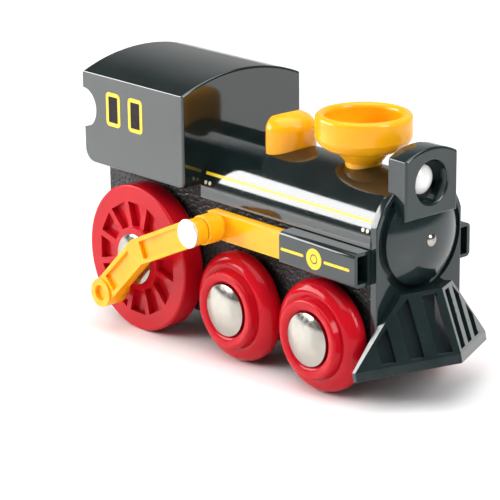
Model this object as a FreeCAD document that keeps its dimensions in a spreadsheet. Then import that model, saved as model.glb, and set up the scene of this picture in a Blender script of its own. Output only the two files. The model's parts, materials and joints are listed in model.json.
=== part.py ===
"""Push-along steam locomotive for a wooden railway: a block body on six wheels, with driving rods.

Frame: millimetres, +X towards the plough, +Y to the engine's left, +Z up. The origin is on the
ground under the middle of the engine. Every size is a cell of the sheet "dims", and each
sub-part is one object of the document, bound to those cells.
"""
import FreeCAD, Part
import math
import os
import Sketcher
from FreeCAD import Placement, Rotation, Vector

DIMENSIONS = [
    # running gear
    ("SmallWheelX", 24.66), ("SmallWheelR", 11.64), ("DriverX", 29.3), ("DriverR", 15.9),
    ("AxleR", 1.5), ("BoreR", 1.55), ("AxleHalf", 16.2), ("WheelInside", 11.0),
    ("WheelRimInside", 11.2), ("TreadR", 11.0), ("TreadEdge", 15.2), ("GrooveR", 8.6),
    ("LipR", 7.4), ("LipFace", 17.3), ("CapSeatR", 5.5), ("CapR", 5.46),
    ("CapSeat", 16.2), ("CapRim", 17.2), ("CapTop", 18.2), ("CapSphereR", 15.4053),
    ("TreadRound", 0.6), ("DriverEdge", 0.5), ("DriverFace", 16.4), ("DriverHub", 17.0),
    ("DriverHubR", 7.0), ("SpokeOuterR", 12.1),
    ("SpokePocketInner", 1.15), ("SpokePocketOuter", 2.55), ("SpokePocketDepth", 1.3),
    ("SpokeCount", 12), ("CrankR", 8.3), ("StudR", 1.6), ("StudBossR", 2.9), ("StudRoot", 13.2),
    ("StudEnd", 18.3), ("CrankAngle", 60),
    # chassis
    ("ChassisHalf", 10.3), ("ChassisBack", 45.5), ("ChassisFront", 36.9), ("ChassisFloor", 6.0),
    ("ChassisDeck", 31.9), ("ChassisStep", 13.3), ("CabFloor", 34.2),
    ("ScrewR", 1.4), ("ScrewHeadR", 2.8), ("ScrewHead", 1.6), ("CabScrewX", 17.5),
    ("BoilerScrewX", 12.4), ("ScrewBite", 5.0),
    # cab
    ("CabBack", 46.3), ("CabFront", 13.3), ("CabHalf", 16.3), ("CabEaves", 53.9),
    ("CabRoofR", 40.8), ("CabRearRound", 3.0), ("CabFrontRound", 1.5), ("CabEdge", 0.5),
    ("NotchR", 4.35), ("NotchZ", 46.0),
    # boiler, plate, door and lamp
    ("BoilerR", 11.8), ("BoilerZ", 32.4), ("SpigotR", 2.5), ("SpigotFoot", 37.0),
    ("PlateFront", 38.6), ("PlateHalf", 11.6), ("PlateR", 12.2), ("PlateFoot", 8.0),
    ("PlateRingR", 11.2), ("PlateEdge", 0.25), ("PlateRecess", 0.8), ("DoorR", 9.6),
    ("DoorFlange", 39.1), ("DoorApex", 41.9), ("DoorSphereR", 17.86), ("RivetR", 0.7),
    ("RivetHeadR", 1.25), ("RivetHead", 0.45), ("RivetLength", 2.2),
    ("LampHalf", 7.0), ("LampFront", 41.8), ("LampFoot", 37.2), ("LampEaves", 49.1),
    ("LampRoofR", 14.5), ("LampZ", 44.0), ("LampHoleR", 4.3), ("LampHoleFloor", 38.6),
    ("LampEdge", 0.5), ("LensR", 2.9), ("LensRim", 39.0), ("LensApex", 40.1),
    ("LensSphereR", 4.373),
    # funnel and dome
    ("FunnelX", 22.9), ("FunnelNeckR", 3.7), ("FunnelFoot", 42.5), ("FunnelWaist", 44.6),
    ("FunnelConeR", 5.8), ("FunnelCone", 47.0), ("FunnelR", 9.7), ("FunnelBand", 49.7),
    ("FunnelLipZ", 53.4), ("FunnelLipR", 1.0), ("FunnelBowlR", 7.7),
    ("FunnelBowlFloor", 48.2), ("FunnelTaperR", 4.0),
    ("DomeX", 0.2), ("DomeR", 5.8), ("DomeStraight", 0.6), ("DomeTop", 51.2), ("DomeOver", 53.0),
    ("DomeFront", 48.6), ("DomeTopR", 9.0), ("DomeSpigotIn", 2.9), ("DomeArchR", 7.2),
    ("DomeShoulder", 48.3), ("DomeEdge", 0.6), ("DomeEdgeLow", 47.0),
    # cylinders, pistons and rods
    ("SleeveBack", 15.4), ("SleeveFront", 36.9), ("SleeveInside", 11.5), ("SleeveOutside", 15.95),
    ("SleeveFoot", 24.7), ("SleeveTop", 31.7), ("SleeveEdge", 1.0), ("SlideInside", 12.4),
    ("SlideOutside", 15.15), ("SlideFoot", 25.4), ("SlideTop", 31.0), ("SlideFit", 0.08),
    ("SleevePegR", 1.4), ("SleevePegRoot", 7.8), ("PegBackX", 19.0), ("PegFrontX", 33.0),
    ("BarFront", 22.5), ("BarTail", 3.4), ("PinX", 3.9), ("PinZ", 28.4), ("PinR", 1.5),
    ("PinBoreR", 1.55), ("PinRoot", 13.2), ("NeckR", 2.3), ("NeckEnd", 16.2), ("BossR", 3.1),
    ("BossEnd", 20.0), ("PinHeadR", 3.0), ("PinHead", 23.05), ("PinEnd", 23.6), ("PinEdge", 0.3),
    ("RodInside", 20.2), ("RodOutside", 22.85), ("RodHalf", 2.8), ("RodBendX", 17.55),
    ("RodBendZ", 8.0), ("RodEyeX", 29.55), ("RodEyeZ", 19.69), ("RodEyeR", 3.05),
    ("RodEyeInside", 18.6), ("RodEyeOutside", 23.3), ("RodEyeBoreR", 1.7),
    ("RodFlange", 0.9), ("RodRecess", 0.8), ("RodShallow", 0.35), ("RodStep", 9.6),
    ("RodUpperEnd", 17.4), ("RodLowerStart", 2.4), ("RodLowerEnd", 12.9),
    # plough, in its own tilted frame with the origin at the foot of its ridge
    ("PloughX", 50.5), ("PloughZ", 9.4), ("PloughTilt", 12.24), ("PloughLip", 1.8),
    ("PloughSweep", 10.85), ("PloughHalf", 18.2), ("PloughTail", 0.9), ("PloughTailTop", 2.1),
    ("PloughHeight", 14.8), ("PloughRidgeTop", 2.62), ("PloughTopHalf", 7.0),
    ("SlotWidth", 3.0), ("SlotPitch", 5.6), ("SlotFirst", 1.4), ("SlotDepth", 1.6),
    ("SlotMargin", 0.7), ("SlotSlant", 0.85), ("SlotEave", 19.7),
    # coupling
    ("CouplingZ", 12.0), ("CouplingFace", 50.5), ("HolderR", 4.9), ("HolderFace", 48.8),
    ("MagnetR", 4.1), ("MagnetBack", 46.6), ("MagnetHoleR", 0.9), ("MagnetSinkR", 2.0),
    ("CouplingRivetEnd", 40.5),
]
DERIVED = [
    ("PlateShoulder", "=BoilerZ+sqrt(PlateR^2-PlateHalf^2)"),
    ("BoilerLength", "=ChassisFront+ChassisStep"), ("CabLength", "=CabBack-CabFront"),
    ("LampDepth", "=LampFront-ChassisFront"), ("PlateDepth", "=PlateFront-ChassisFront"),
    ("LampHoleDepth", "=LampFront-LampHoleFloor"), ("SleeveLength", "=SleeveFront-SleeveBack"),
    ("SpigotHeight", "=BoilerZ+BoilerR-SpigotFoot"), ("SpigotHoleR", "=SpigotR+0.1"),
    ("BarInside", "=SlideInside+SlideFit"), ("BarOutside", "=SlideOutside-SlideFit"),
    ("BarFoot", "=SlideFoot+SlideFit"), ("BarTop", "=SlideTop-SlideFit"),
    ("RodThickness", "=RodOutside-RodInside"),
    ("RecessHalf", "=RodHalf-RodFlange"), ("PegDepth", "=ChassisHalf-SleevePegRoot"),
    ("CouplingRivetDepth", "=ChassisBack-CouplingRivetEnd"),
    ("SleeveGap", "=SleeveInside-SleevePegRoot"),
    ("NeckLength", "=NeckEnd-BarOutside"), ("BossLength", "=BossEnd-NeckEnd"),
    ("BarLength", "=BarFront+PinX+BarTail"),
    ("EyeLength", "=RodEyeOutside-RodEyeInside"), ("BarBack", "=-PinX-BarTail"),
    ("DoorCutZ", "=LampFoot-BoilerZ"), ("RivetTip", "=DoorApex+RivetHead"),
    ("RivetRoot", "=DoorApex-RivetLength"),
    ("RivetSphereR", "=(RivetHeadR^2+RivetHead^2)/(2*RivetHead)"),
    ("FunnelLipInner", "=FunnelR-2*FunnelLipR"), ("DomeHeight", "=DomeOver-SpigotFoot"),
    ("DomeFrontX", "=DomeStraight+DomeR"), ("DomeSpigotX", "=DomeX+DomeSpigotIn"),
    ("PloughFootTail", "=PloughSweep+PloughTail"),
    ("PloughTopSide", "=PloughRidgeTop+PloughSweep*PloughTopHalf/PloughHalf"),
    ("PloughTopTail", "=PloughTopSide+PloughTailTop"), ("MagnetSink", "=CouplingFace-1.1"),
    ("RivetFace", "=CouplingFace-0.2"), ("RivetSinkR", "=MagnetSinkR-0.2"),
    ("TreadStart", "=WheelInside+0.7"), ("TreadStop", "=TreadEdge-0.7"),
    ("GrooveFloor", "=TreadEdge-0.4"), ("GrooveOuterR", "=GrooveR+0.4"),
    ("LipStart", "=LipFace-0.4"), ("LipTopR", "=LipR-0.3"),
    ("DriverHubTopR", "=DriverHubR-0.2"), ("SpokeInnerR", "=DriverHubR-0.1"),
    ("StudX", "=-CrankR*cos(CrankAngle)"), ("StudZ", "=-CrankR*sin(CrankAngle)"),
    ("StudBossLength", "=DriverFace-WheelRimInside"), ("StudLength", "=StudEnd-StudRoot"),
    ("PinHoleLength", "=BossEnd-PinRoot"), ("PinHeadShoulder", "=PinEnd-0.15"),
    ("PinHeadTopR", "=PinHeadR-0.25"),
]

doc = FreeCAD.newDocument("locomotive")
sheet = doc.addObject("Spreadsheet::Sheet", "dims")
for row, (alias, content) in enumerate(DIMENSIONS + DERIVED, start=1):
    sheet.set("A%d" % row, alias)
    sheet.set("B%d" % row, str(content))
    sheet.setAlias("B%d" % row, alias)
doc.recompute()
NODES = []


def cell(term):
    """The number that a cell's name stands for, with or without a minus sign."""
    if not isinstance(term, str):
        return float(term)
    sign = -1.0 if term.startswith("-") else 1.0
    return sign * float(sheet.get(term.lstrip("-")))


def bind(thing, path, term):
    """Bind one property of an object to a cell."""
    if isinstance(term, str):
        sign = "-" if term.startswith("-") else ""
        thing.setExpression(path, sign + "dims." + term.lstrip("-"))


def signed(side, term):
    """A cell's name on the engine's left (+1) or, with a minus sign, on its right (-1)."""
    return term if side > 0 else "-" + term


def keep(thing, label, place=(0, 0, 0), turn=None):
    """Name a finished sub-part and put it in its place."""
    thing.Label = label
    thing.Placement = Placement(Vector(*place), turn or Rotation())
    NODES.append(thing)
    return thing


def new_body(label, place=(0, 0, 0), turn=None):
    return keep(doc.addObject("PartDesign::Body", label), label, place, turn)


def origin_part(body, role):
    return [f for f in body.Origin.OriginFeatures if f.Role == role][0]


def new_sketch(body, role, offset=0, frame=None):
    """A sketch on one of the body's own planes, lifted along the plane's normal by a cell."""
    sketch = body.newObject("Sketcher::SketchObject", body.Name + "_sketch")
    sketch.AttachmentSupport = [(origin_part(body, role), "")]
    sketch.MapMode = "FlatFace"
    if frame:
        sketch.AttachmentOffset = frame
    elif isinstance(offset, str):
        sketch.AttachmentOffset = Placement(Vector(0, 0, cell(offset)), Rotation())
        bind(sketch, "AttachmentOffset.Base.z", offset)
    return sketch


def fix(sketch, kind, *where):
    """Add one dimension to a sketch, bound to a cell when it is given by name."""
    number = sketch.addConstraint(Sketcher.Constraint(kind, *where[:-1], cell(where[-1])))
    if isinstance(where[-1], str):
        name = "d%d" % number
        sketch.renameConstraint(number, name)
        bind(sketch, "Constraints." + name, where[-1])


def arc_through(start, end, radius, turn):
    """The arc of a given radius from start to end, turning left (+1) or right (-1)."""
    chord = end - start
    rise = math.sqrt(max(radius ** 2 - (chord.Length / 2) ** 2, 0.0))
    normal = Vector(-chord.y, chord.x, 0).normalize()
    centre = (start + end) * 0.5 + normal * rise * turn
    first, last = (start, end) if turn > 0 else (end, start)
    angles = [math.atan2(p.y - centre.y, p.x - centre.x) for p in (first, last)]
    circle = Part.Circle(centre, Vector(0, 0, 1), radius)
    return Part.ArcOfCircle(circle, angles[0], angles[1])


def outline(sketch, corners):
    """A closed outline. A corner (a, b) ends a straight line; (a, b, radius, turn) ends an arc."""
    points = [Vector(cell(c[0]), cell(c[1]), 0) for c in corners]
    ends = []
    for index, corner in enumerate(corners):
        start, end = points[index - 1], points[index]
        if len(corner) == 2:
            edge = sketch.addGeometry(Part.LineSegment(start, end), False)
            ends.append((edge, 1, 2))
        else:
            edge = sketch.addGeometry(arc_through(start, end, cell(corner[2]), corner[3]), False)
            ends.append((edge, 1, 2) if corner[3] > 0 else (edge, 2, 1))
    for index, corner in enumerate(corners):
        edge, first, last = ends[index]
        following = ends[(index + 1) % len(ends)]
        sketch.addConstraint(Sketcher.Constraint("Coincident", edge, last, following[0], following[1]))
        fix(sketch, "DistanceX", -1, 1, edge, last, corner[0])
        fix(sketch, "DistanceY", -1, 1, edge, last, corner[1])
        if len(corner) == 4:
            chord = points[index] - points[index - 1]
            if chord.Length < 1.999 * cell(corner[2]):
                fix(sketch, "Radius", edge, corner[2])
            elif abs(chord.y) < abs(chord.x):
                fix(sketch, "DistanceY", -1, 1, edge, 3, corner[1])
            else:
                fix(sketch, "DistanceX", -1, 1, edge, 3, corner[0])


def ring(sketch, across, up, radius):
    """A full circle in a sketch."""
    centre = Vector(cell(across), cell(up), 0)
    edge = sketch.addGeometry(Part.Circle(centre, Vector(0, 0, 1), cell(radius)), False)
    fix(sketch, "DistanceX", -1, 1, edge, 3, across)
    fix(sketch, "DistanceY", -1, 1, edge, 3, up)
    fix(sketch, "Radius", edge, radius)


def oblong(sketch, low, high, foot, top):
    """A rectangle between two horizontal and two vertical places."""
    outline(sketch, [(high, foot), (high, top), (low, top), (low, foot)])


def pad(body, sketch, length, both=False, reverse=False):
    """Add material: both ways from the sketch, or along its normal, or against it."""
    feature = body.newObject("PartDesign::Pad", body.Name + "_pad")
    feature.Profile = sketch
    feature.SideType = "Symmetric" if both else "One side"
    feature.Reversed = reverse
    feature.Length = cell(length)
    bind(feature, "Length", length)
    return feature


def pocket(body, sketch, length=None, reverse=False):
    """Remove material, right through when no length is given, and see that some went."""
    doc.recompute()
    before = body.Shape.Volume
    feature = body.newObject("PartDesign::Pocket", body.Name + "_pocket")
    feature.Profile = sketch
    feature.Reversed = reverse
    if length is None:
        feature.SideType = "Symmetric"
        feature.Type = "ThroughAll"
    else:
        feature.Length = cell(length)
        bind(feature, "Length", length)
    doc.recompute()
    if not body.Shape.Volume < before - 0.01:
        raise RuntimeError("a pocket of %s cuts nothing" % body.Label)
    return feature


def revolve(body, sketch, axis="H_Axis"):
    feature = body.newObject("PartDesign::Revolution", body.Name + "_revolution")
    feature.Profile = sketch
    feature.ReferenceAxis = (sketch, [axis])
    feature.Angle = 360
    return feature


def soften(body, feature, radius, wanted):
    """Round the edges of a feature whose middle passes the test wanted(point, edge)."""
    doc.recompute()
    names = []
    for number, edge in enumerate(feature.Shape.Edges, start=1):
        middle = edge.valueAt((edge.FirstParameter + edge.LastParameter) / 2)
        if wanted(middle, edge):
            names.append("Edge%d" % number)
    rounding = body.newObject("PartDesign::Fillet", body.Name + "_fillet")
    rounding.Base = (feature, names)
    rounding.Radius = cell(radius)
    bind(rounding, "Radius", radius)
    return rounding


def is_round(edge, radius):
    return isinstance(edge.Curve, Part.Circle) and abs(edge.Curve.Radius - cell(radius)) < 0.01


# ---------------------------------------------------------------- chassis
def chassis_frame():
    body = new_body("chassis_frame")
    side = new_sketch(body, "XZ_Plane")
    outline(side, [("ChassisFront", "ChassisFloor"), ("ChassisFront", "ChassisDeck"),
                   ("-ChassisStep", "ChassisDeck"), ("-ChassisStep", "CabFloor"),
                   ("-ChassisBack", "CabFloor"), ("-ChassisBack", "ChassisFloor")])
    block = body.newObject("PartDesign::Pad", "chassis_block")
    block.Profile = side
    block.SideType = "Symmetric"
    block.setExpression("Length", "2*dims.ChassisHalf")
    bores = new_sketch(body, "XZ_Plane")
    ring(bores, "-DriverX", "DriverR", "BoreR")
    ring(bores, 0, "SmallWheelR", "BoreR")
    ring(bores, "SmallWheelX", "SmallWheelR", "BoreR")
    pocket(body, bores)
    for side_sign in (1, -1):
        pegs = new_sketch(body, "XZ_Plane", signed(-side_sign, "ChassisHalf"))
        ring(pegs, "PegBackX", "PinZ", "SleevePegR")
        ring(pegs, "PegFrontX", "PinZ", "SleevePegR")
        pocket(body, pegs, "PegDepth", reverse=side_sign > 0)
    screws = new_sketch(body, "XY_Plane")
    ring(screws, "-CabScrewX", 0, "ScrewR")
    ring(screws, "BoilerScrewX", 0, "ScrewR")
    pocket(body, screws)
    sinks = new_sketch(body, "XY_Plane", "ChassisFloor")
    ring(sinks, "-CabScrewX", 0, "ScrewHeadR")
    ring(sinks, "BoilerScrewX", 0, "ScrewHeadR")
    pocket(body, sinks, "ScrewHead", reverse=True)
    tail = new_sketch(body, "YZ_Plane", "-CouplingRivetEnd")
    ring(tail, 0, "CouplingZ", "MagnetHoleR")
    pocket(body, tail, "CouplingRivetDepth")
    return body


def cab_block():
    body = new_body("cab_block")
    front = new_sketch(body, "YZ_Plane", "-CabBack")
    outline(front, [("CabHalf", "CabFloor"), ("CabHalf", "CabEaves"),
                    ("-CabHalf", "CabEaves", "CabRoofR", 1), ("-CabHalf", "CabFloor")])
    block = pad(body, front, "CabLength")
    notch = new_sketch(body, "XZ_Plane")
    ring(notch, "-CabBack", "NotchZ", "NotchR")
    block = pocket(body, notch)
    screws = new_sketch(body, "XY_Plane", "CabFloor")
    ring(screws, "-CabScrewX", 0, "ScrewR")
    block = pocket(body, screws, "ScrewBite", reverse=True)
    for end, radius in ((-cell("CabBack"), "CabRearRound"), (-cell("CabFront"), "CabFrontRound")):
        block = soften(body, block, radius, lambda p, e: abs(p.x - end) < 0.01
                       and abs(p.z - cell("CabFloor")) < 0.01 and e.Length > 20)
    soften(body, block, "CabEdge", lambda p, e: p.z > cell("CabEaves") - 0.01
           or (abs(p.x + cell("CabFront")) < 0.01 and abs(abs(p.y) - cell("CabHalf")) < 0.01
               and e.Length > 10))
    return body


def boiler_block():
    body = new_body("boiler_block")
    front = new_sketch(body, "YZ_Plane", "-ChassisStep")
    outline(front, [("BoilerR", "ChassisDeck"), ("BoilerR", "BoilerZ"),
                    ("-BoilerR", "BoilerZ", "BoilerR", 1), ("-BoilerR", "ChassisDeck")])
    pad(body, front, "BoilerLength")
    spigots = new_sketch(body, "XY_Plane", "SpigotFoot")
    ring(spigots, "FunnelX", 0, "SpigotHoleR")
    ring(spigots, "DomeSpigotX", 0, "SpigotHoleR")
    pocket(body, spigots, "SpigotHeight", reverse=True)
    screws = new_sketch(body, "XY_Plane", "ChassisDeck")
    ring(screws, "BoilerScrewX", 0, "ScrewR")
    pocket(body, screws, "ScrewBite", reverse=True)
    return body


def smokebox_plate():
    body = new_body("smokebox_plate")
    front = new_sketch(body, "YZ_Plane", "ChassisFront")
    outline(front, [("PlateHalf", "PlateFoot"), ("PlateHalf", "PlateShoulder"),
                    ("-PlateHalf", "PlateShoulder", "PlateR", 1), ("-PlateHalf", "PlateFoot")])
    plate = pad(body, front, "PlateDepth")
    groove = new_sketch(body, "YZ_Plane", "PlateFront")
    ring(groove, 0, "BoilerZ", "PlateRingR")
    ring(groove, 0, "BoilerZ", "DoorR")
    plate = pocket(body, groove, "PlateRecess")
    soften(body, plate, "PlateEdge", lambda p, e: abs(p.x - cell("PlateFront")) < 0.01
           and (is_round(e, "PlateR") or abs(abs(p.y) - cell("PlateHalf")) < 0.01))
    return body


def smokebox_door():
    """The domed door, cut away where the lamp stands in front of it."""
    body = new_body("smokebox_door", (0, 0, cell("BoilerZ")))
    half = new_sketch(body, "XZ_Plane")
    outline(half, [("DoorApex", 0), ("DoorFlange", "DoorR", "DoorSphereR", 1),
                   ("PlateFront", "DoorR"), ("PlateFront", 0)])
    revolve(body, half)
    lamp = new_sketch(body, "YZ_Plane", "LampFront")
    oblong(lamp, "-LampHalf", "LampHalf", "DoorCutZ", "PlateR")
    pocket(body, lamp, "LampDepth")
    rivet = new_sketch(body, "YZ_Plane", "DoorApex")
    ring(rivet, 0, 0, "RivetR")
    pocket(body, rivet, "RivetLength")
    return body


def door_rivet():
    body = new_body("door_rivet", (0, 0, cell("BoilerZ")))
    half = new_sketch(body, "XZ_Plane")
    outline(half, [("RivetTip", 0), ("DoorApex", "RivetHeadR", "RivetSphereR", 1),
                   ("DoorApex", "RivetR"), ("RivetRoot", "RivetR"), ("RivetRoot", 0)])
    revolve(body, half)
    return body


def headlamp_housing():
    body = new_body("headlamp_housing")
    front = new_sketch(body, "YZ_Plane", "ChassisFront")
    outline(front, [("LampHalf", "LampFoot"), ("LampHalf", "LampEaves"),
                    ("-LampHalf", "LampEaves", "LampRoofR", 1), ("-LampHalf", "LampFoot")])
    lamp = pad(body, front, "LampDepth")
    saddle = new_sketch(body, "YZ_Plane", "PlateFront")
    ring(saddle, 0, "BoilerZ", "PlateR")
    lamp = pocket(body, saddle, "PlateDepth")
    recess = new_sketch(body, "YZ_Plane", "LampFront")
    ring(recess, 0, "LampZ", "LampHoleR")
    lamp = pocket(body, recess, "LampHoleDepth")
    soften(body, lamp, "LampEdge", lambda p, e: p.x > cell("PlateFront") and (
        p.z > cell("LampEaves") - 0.01 or abs(p.x - cell("LampFront")) < 0.01
        or (abs(abs(p.y) - cell("LampHalf")) < 0.01 and p.z > cell("LampFoot") + 0.1)))
    return body


def headlamp_lens():
    body = new_body("headlamp_lens", (0, 0, cell("LampZ")))
    half = new_sketch(body, "XZ_Plane")
    outline(half, [("LensApex", 0), ("LensRim", "LensR", "LensSphereR", 1),
                   ("LampHoleFloor", "LensR"), ("LampHoleFloor", 0)])
    revolve(body, half)
    return body


def funnel():
    body = new_body("funnel", (cell("FunnelX"), 0, 0))
    half = new_sketch(body, "XZ_Plane")
    outline(half, [("FunnelNeckR", "FunnelFoot"), ("FunnelNeckR", "FunnelWaist"),
                   ("FunnelConeR", "FunnelCone"), ("FunnelR", "FunnelBand", "FunnelTaperR", 1),
                   ("FunnelR", "FunnelLipZ"), ("FunnelLipInner", "FunnelLipZ", "FunnelLipR", 1),
                   ("FunnelBowlR", "FunnelBowlFloor"), (0, "FunnelBowlFloor"), (0, "FunnelFoot")])
    revolve(body, half, "V_Axis")
    boiler = new_sketch(body, "YZ_Plane")
    ring(boiler, 0, "BoilerZ", "BoilerR")
    pocket(body, boiler)
    spigot = new_sketch(body, "XY_Plane", "SpigotFoot")
    ring(spigot, 0, 0, "SpigotR")
    pad(body, spigot, "SpigotHeight")
    return body


def steam_dome():
    """Half-round in plan with a flat back, and a crown that slopes down to the front."""
    body = new_body("steam_dome", (cell("DomeX"), 0, 0))
    plan = new_sketch(body, "XY_Plane", "SpigotFoot")
    outline(plan, [(0, "DomeR"), (0, "-DomeR"), ("DomeStraight", "-DomeR"),
                   ("DomeStraight", "DomeR", "DomeR", 1)])
    pad(body, plan, "DomeHeight")
    crown = new_sketch(body, "XZ_Plane")
    outline(crown, [("DomeFrontX", "DomeOver"), (0, "DomeOver"), (0, "DomeTop"),
                    ("DomeFrontX", "DomeFront", "DomeTopR", -1)])
    pocket(body, crown)
    arch = new_sketch(body, "YZ_Plane")
    outline(arch, [("DomeR", "DomeOver"), ("-DomeR", "DomeOver"), ("-DomeR", "DomeShoulder"),
                   ("DomeR", "DomeShoulder", "DomeArchR", -1)])
    dome = pocket(body, arch)
    soften(body, dome, "DomeEdge", lambda p, e: p.z > cell("DomeEdgeLow") and p.x > 0.01
           and math.hypot(p.x - cell("DomeStraight"), p.y) > cell("DomeR") - 0.05)
    boiler = new_sketch(body, "YZ_Plane")
    ring(boiler, 0, "BoilerZ", "BoilerR")
    pocket(body, boiler)
    spigot = new_sketch(body, "XY_Plane", "SpigotFoot")
    ring(spigot, "DomeSpigotIn", 0, "SpigotR")
    pad(body, spigot, "SpigotHeight")
    return body


def cowcatcher():
    """A ribbed V plough on a lip, drawn level and then tilted up at the front."""
    place = (cell("PloughX"), 0, cell("PloughZ"))
    body = new_body("cowcatcher", place, Rotation(Vector(0, 1, 0), -cell("PloughTilt")))
    foot = new_sketch(body, "XY_Plane")
    plan = [("-PloughSweep", "PloughHalf"), ("-PloughFootTail", "PloughHalf"),
            ("-PloughFootTail", "-PloughHalf"), ("-PloughSweep", "-PloughHalf"), (0, 0)]
    outline(foot, plan)
    pad(body, foot, "PloughLip")
    low = new_sketch(body, "XY_Plane", "PloughLip")
    outline(low, plan)
    high = new_sketch(body, "XY_Plane", "PloughHeight")
    outline(high, [("-PloughTopSide", "PloughTopHalf"), ("-PloughTopTail", "PloughTopHalf"),
                   ("-PloughTopTail", "-PloughTopHalf"), ("-PloughTopSide", "-PloughTopHalf"),
                   ("-PloughRidgeTop", 0)])
    loft = body.newObject("PartDesign::AdditiveLoft", "plough_panels")
    loft.Profile = low
    loft.Sections = [high]
    loft.Ruled = True
    doc.recompute()
    ridge_foot = Vector(0, 0, cell("PloughLip"))
    ridge = (Vector(-cell("PloughRidgeTop"), 0, cell("PloughHeight")) - ridge_foot).normalize()
    sweep = Vector(-cell("PloughSweep"), cell("PloughHalf"), 0)
    normal = ridge.cross(sweep).normalize()
    if normal.x < 0:
        normal = normal * -1
    across = ridge.cross(normal).normalize()
    panel = Placement(ridge_foot, Rotation(across, ridge, normal, "ZXY"))
    reach = -1.0 if across.y < 0 else 1.0
    rise = abs(sweep.normalize().dot(ridge))
    slots = new_sketch(body, "XY_Plane", frame=panel)
    height = (Vector(-cell("PloughRidgeTop"), 0, cell("PloughHeight")) - ridge_foot).Length
    for number in range(3):
        near = cell("SlotFirst") + number * cell("SlotPitch")
        far = near + cell("SlotWidth")
        shape = []
        for u, is_top in ((near, False), (far, False), (far, True), (near, True)):
            foot_v = rise * u + cell("SlotMargin")
            top_v = rise * u + height - cell("SlotMargin")
            eave_v = cell("SlotEave") - cell("SlotSlant") * u
            shape.append((u * reach, min(top_v, eave_v) if is_top else foot_v))
        outline(slots, shape if reach < 0 else shape[::-1])
    cut = pocket(body, slots, "SlotDepth")
    other = body.newObject("PartDesign::Mirrored", "plough_other_panel")
    other.Originals = [cut]
    other.MirrorPlane = (origin_part(body, "XZ_Plane"), [""])
    body.Tip = other
    return body


def cylinder_sleeve(side, label):
    """A rectangular tube with two pegs that plug into the chassis."""
    body = new_body(label)
    end = new_sketch(body, "YZ_Plane", "SleeveBack")
    low, high = sorted((signed(side, "SleeveInside"), signed(side, "SleeveOutside")), key=cell)
    oblong(end, low, high, "SleeveFoot", "SleeveTop")
    tube = pad(body, end, "SleeveLength")
    tube = soften(body, tube, "SleeveEdge", lambda p, e: e.Length > 20 and abs(p.y) > 13)
    hole = new_sketch(body, "YZ_Plane", "SleeveBack")
    low, high = sorted((signed(side, "SlideInside"), signed(side, "SlideOutside")), key=cell)
    oblong(hole, low, high, "SlideFoot", "SlideTop")
    pocket(body, hole)
    pegs = new_sketch(body, "XZ_Plane", signed(-side, "SleeveInside"))
    ring(pegs, "PegBackX", "PinZ", "SleevePegR")
    ring(pegs, "PegFrontX", "PinZ", "SleevePegR")
    pad(body, pegs, "SleeveGap", reverse=side < 0)
    return body


def body_screws():
    """Two countersunk screws, from under the chassis into the cab and the boiler."""
    shanks = []
    tops = (("-CabScrewX", "CabFloor"), ("BoilerScrewX", "ChassisDeck"))
    for number, (across, deck) in enumerate(tops):
        head = doc.addObject("Part::Cylinder", "screw_head_%d" % number)
        head.setExpression("Radius", "dims.ScrewHeadR")
        head.setExpression("Height", "dims.ScrewHead")
        shank = doc.addObject("Part::Cylinder", "screw_shank_%d" % number)
        shank.setExpression("Radius", "dims.ScrewR")
        shank.setExpression("Height", "dims.%s+dims.ScrewBite-dims.ChassisFloor" % deck)
        for piece in (head, shank):
            piece.Placement = Placement(Vector(cell(across), 0, cell("ChassisFloor")), Rotation())
        screw = doc.addObject("Part::Fuse", "screw_%d" % number)
        screw.Base, screw.Tool = head, shank
        shanks.append(screw)
    group = doc.addObject("Part::Compound", "body_screws")
    group.Links = shanks
    return keep(group, "body_screws")


# ---------------------------------------------------------------- coupling
def coupling_pieces():
    """The holder, the magnet in it and the rivet, turned about the coupling's own axis."""
    place = (0, 0, cell("CouplingZ"))
    shapes = {
        "coupling_holder": [("-HolderFace", "MagnetR"), ("-MagnetBack", "MagnetR"),
                            ("-MagnetBack", "MagnetHoleR"), ("-ChassisBack", "MagnetHoleR"),
                            ("-ChassisBack", "HolderR"), ("-HolderFace", "HolderR")],
        "coupling_magnet": [("-CouplingFace", "MagnetSinkR"), ("-MagnetSink", "MagnetHoleR"),
                            ("-MagnetBack", "MagnetHoleR"), ("-MagnetBack", "MagnetR"),
                            ("-CouplingFace", "MagnetR")],
        "coupling_rivet": [("-RivetFace", 0), ("-CouplingRivetEnd", 0),
                           ("-CouplingRivetEnd", "MagnetHoleR"), ("-MagnetSink", "MagnetHoleR"),
                           ("-RivetFace", "RivetSinkR")],
    }
    for label, corners in shapes.items():
        body = new_body(label, place)
        half = new_sketch(body, "XZ_Plane")
        outline(half, corners)
        revolve(body, half)


# ---------------------------------------------------------------- wheels
def outward_turn(side):
    """Turned pieces are drawn for the left side and swung half round for the right."""
    return Rotation(Vector(0, 0, 1), 0 if side > 0 else 180)


def axle(label, across, up):
    rod = doc.addObject("Part::Cylinder", label)
    rod.setExpression("Radius", "dims.AxleR")
    rod.setExpression("Height", "2*dims.AxleHalf")
    place = (cell(across), -cell("AxleHalf"), cell(up))
    return keep(rod, label, place, Rotation(Vector(1, 0, 0), -90))


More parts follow.
